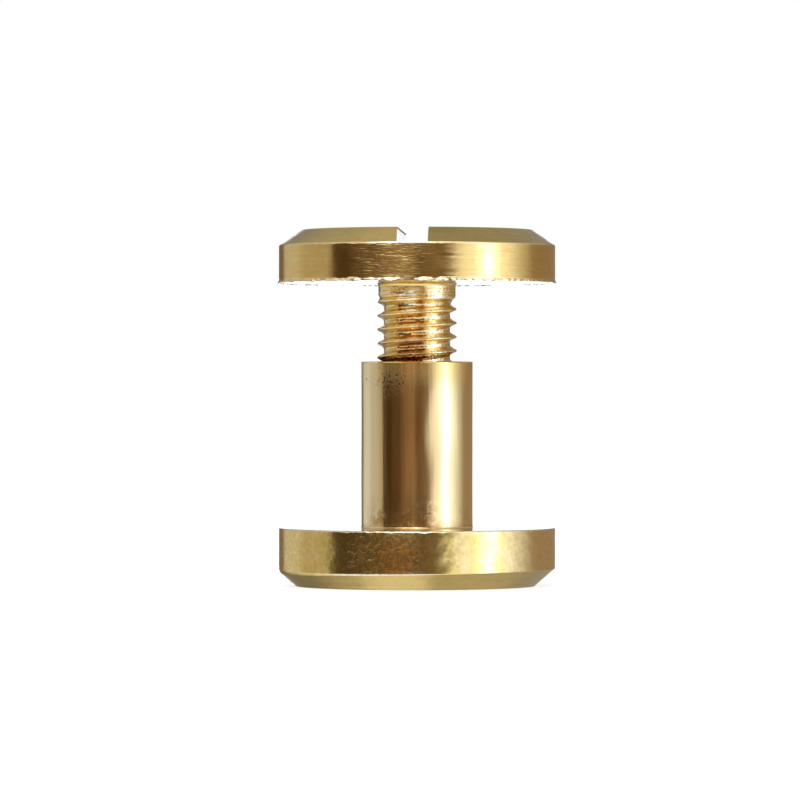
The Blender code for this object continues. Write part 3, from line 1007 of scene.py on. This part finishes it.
def build_studio():
    """The world: white where the camera sees it, and the studio in what the brass mirrors."""
    world = bpy.data.worlds.new("studio")
    bpy.context.scene.world = world
    world.use_nodes = True
    tree = world.node_tree
    direction = add_node(tree, "ShaderNodeTexCoord").outputs["Generated"]
    x, y, z = add_node(tree, "ShaderNodeSeparateXYZ", {0: direction}).outputs[:3]
    turn = calculate(tree, "ARCTAN2", x, multiply(tree, y, -1.0))
    share = multiply_add(tree, turn, 1 / math.tau, 0.5)
    high = ease(tree, z, EYE_LEVEL_END, OVERHEAD_START)
    low = ease(tree, z, -EYE_LEVEL_END, -OVERHEAD_START)

    level_part = calculate(tree, "MAXIMUM", calculate(tree, "MINIMUM", z, GLOW_REACH), -GLOW_REACH)
    leaning = multiply_add(tree, level_part, -CARD_LEAN, turn)
    card = multiply(tree, ease(tree, turn, *CARD_LEFT), ease(tree, leaning, *CARD_RIGHT))
    glow = multiply_add(tree, level_part, -TABLE_GLOW, 1.0)
    levels = add_ramp(tree, share, AT_EYE_LEVEL, WARM)
    eye_level = add_node(
        tree, "ShaderNodeVectorMath", {0: levels, "Scale": glow}, operation="SCALE"
    ).outputs[0]
    eye_level = blend_colours(tree, card, eye_level, studio_colour(CARD_LEVEL, WARM)[:3])
    around = blend_colours(tree, high, eye_level, add_ramp(tree, share, OVERHEAD))
    around = blend_colours(tree, low, around, add_ramp(tree, share, ON_THE_TABLE))
    for aim, outer, inner, level in SPOTS:
        closeness = add_node(
            tree, "ShaderNodeVectorMath", {0: direction, 1: aim}, operation="DOT_PRODUCT"
        ).outputs["Value"]
        around = blend_colours(tree, ease(tree, closeness, outer, inner), around, studio_colour(level)[:3])
    background = tree.nodes["Background"]
    tree.links.new(around, background.inputs["Color"])
    background.inputs["Strength"].default_value = STUDIO_PEAK
    white = add_node(tree, "ShaderNodeBackground", {"Color": (1, 1, 1, 1), "Strength": 1.0})
    seen = add_node(tree, "ShaderNodeLightPath").outputs["Is Camera Ray"]
    mix = add_node(tree, "ShaderNodeMixShader", {0: seen, 1: background.outputs[0], 2: white.outputs[0]})
    tree.links.new(mix.outputs[0], tree.nodes["World Output"].inputs["Surface"])


# The floor, in metres. Its glow makes it white, and its grey takes the shadow.
FLOOR_REACH = 1.5
FLOOR_DROP = 0.02 * MM
FLOOR_GREY = 0.4
FLOOR_GLOW = 0.72


def build_floor():
    """A wide white floor that keeps a soft shadow, and that the brass doesn't mirror."""
    mesh_edit = bmesh.new()
    bmesh.ops.create_grid(mesh_edit, x_segments=1, y_segments=1, size=FLOOR_REACH)
    mesh = bpy.data.meshes.new("floor")
    mesh_edit.to_mesh(mesh)
    mesh_edit.free()
    floor = bpy.data.objects.new("floor", mesh)
    floor.location.z = -FLOOR_DROP
    bpy.context.scene.collection.objects.link(floor)
    material = bpy.data.materials.new("white_floor")
    material.use_nodes = True
    tree = material.node_tree
    tree.nodes.remove(tree.nodes["Principled BSDF"])
    matt = add_node(tree, "ShaderNodeBsdfDiffuse", {"Color": (FLOOR_GREY, FLOOR_GREY, FLOOR_GREY, 1)})
    glow = add_node(tree, "ShaderNodeEmission", {"Color": (1, 1, 1, 1), "Strength": FLOOR_GLOW})
    clear = add_node(tree, "ShaderNodeBsdfTransparent")
    lit = add_node(tree, "ShaderNodeAddShader", {0: matt.outputs[0], 1: glow.outputs[0]})
    mirrored = add_node(tree, "ShaderNodeLightPath").outputs["Is Glossy Ray"]
    whole = add_node(tree, "ShaderNodeMixShader", {0: mirrored, 1: lit.outputs[0], 2: clear.outputs[0]})
    tree.links.new(whole.outputs[0], tree.nodes["Material Output"].inputs["Surface"])
    mesh.materials.append(material)


# The camera, placed from the photo's perspective, in millimetres

CAMERA_DISTANCE = 185.0
CAMERA_HEIGHT = 7.1
CAMERA_LENS = 230.2
AIM_LEFT = math.radians(0.190)
AIM_DOWN = math.radians(0.12)


def build_camera():
    camera = bpy.data.cameras.new("camera")
    camera.lens = CAMERA_LENS
    camera.clip_start = 0.01
    thing = bpy.data.objects.new("camera", camera)
    bpy.context.scene.collection.objects.link(thing)
    place = Matrix.Translation((0, -CAMERA_DISTANCE * MM, CAMERA_HEIGHT * MM))
    aim = Matrix.Rotation(AIM_LEFT, 4, "Z") @ Matrix.Rotation(math.radians(90) - AIM_DOWN, 4, "X")
    thing.matrix_world = place @ aim
    bpy.context.scene.camera = thing


def main():
    build_camera()
    build_studio()
    build_floor()

    face = new_finish("turned_face", turned_face)
    thread = new_finish("cut_thread", cut_thread)
    bore = new_finish("tapped_bore", tapped_bore)
    barrel = new_finish("polished_barrel", polished_barrel)
    post_rim = new_finish("mottled_rim", mottled_rim)
    screw_rim = new_finish("turned_rim", turned_rim)
    slot = new_finish("milled_slot", milled_slot)
    post = build_post([bore, face, barrel, face, post_rim, face, face])
    screw = build_screw([face, face, screw_rim, face, thread, slot])

    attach(post, "post")
    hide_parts("barrel_post")
    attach(screw, "screw")
    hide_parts("slotted_screw")
    bpy.context.scene.view_settings.view_transform = "Standard"


main()
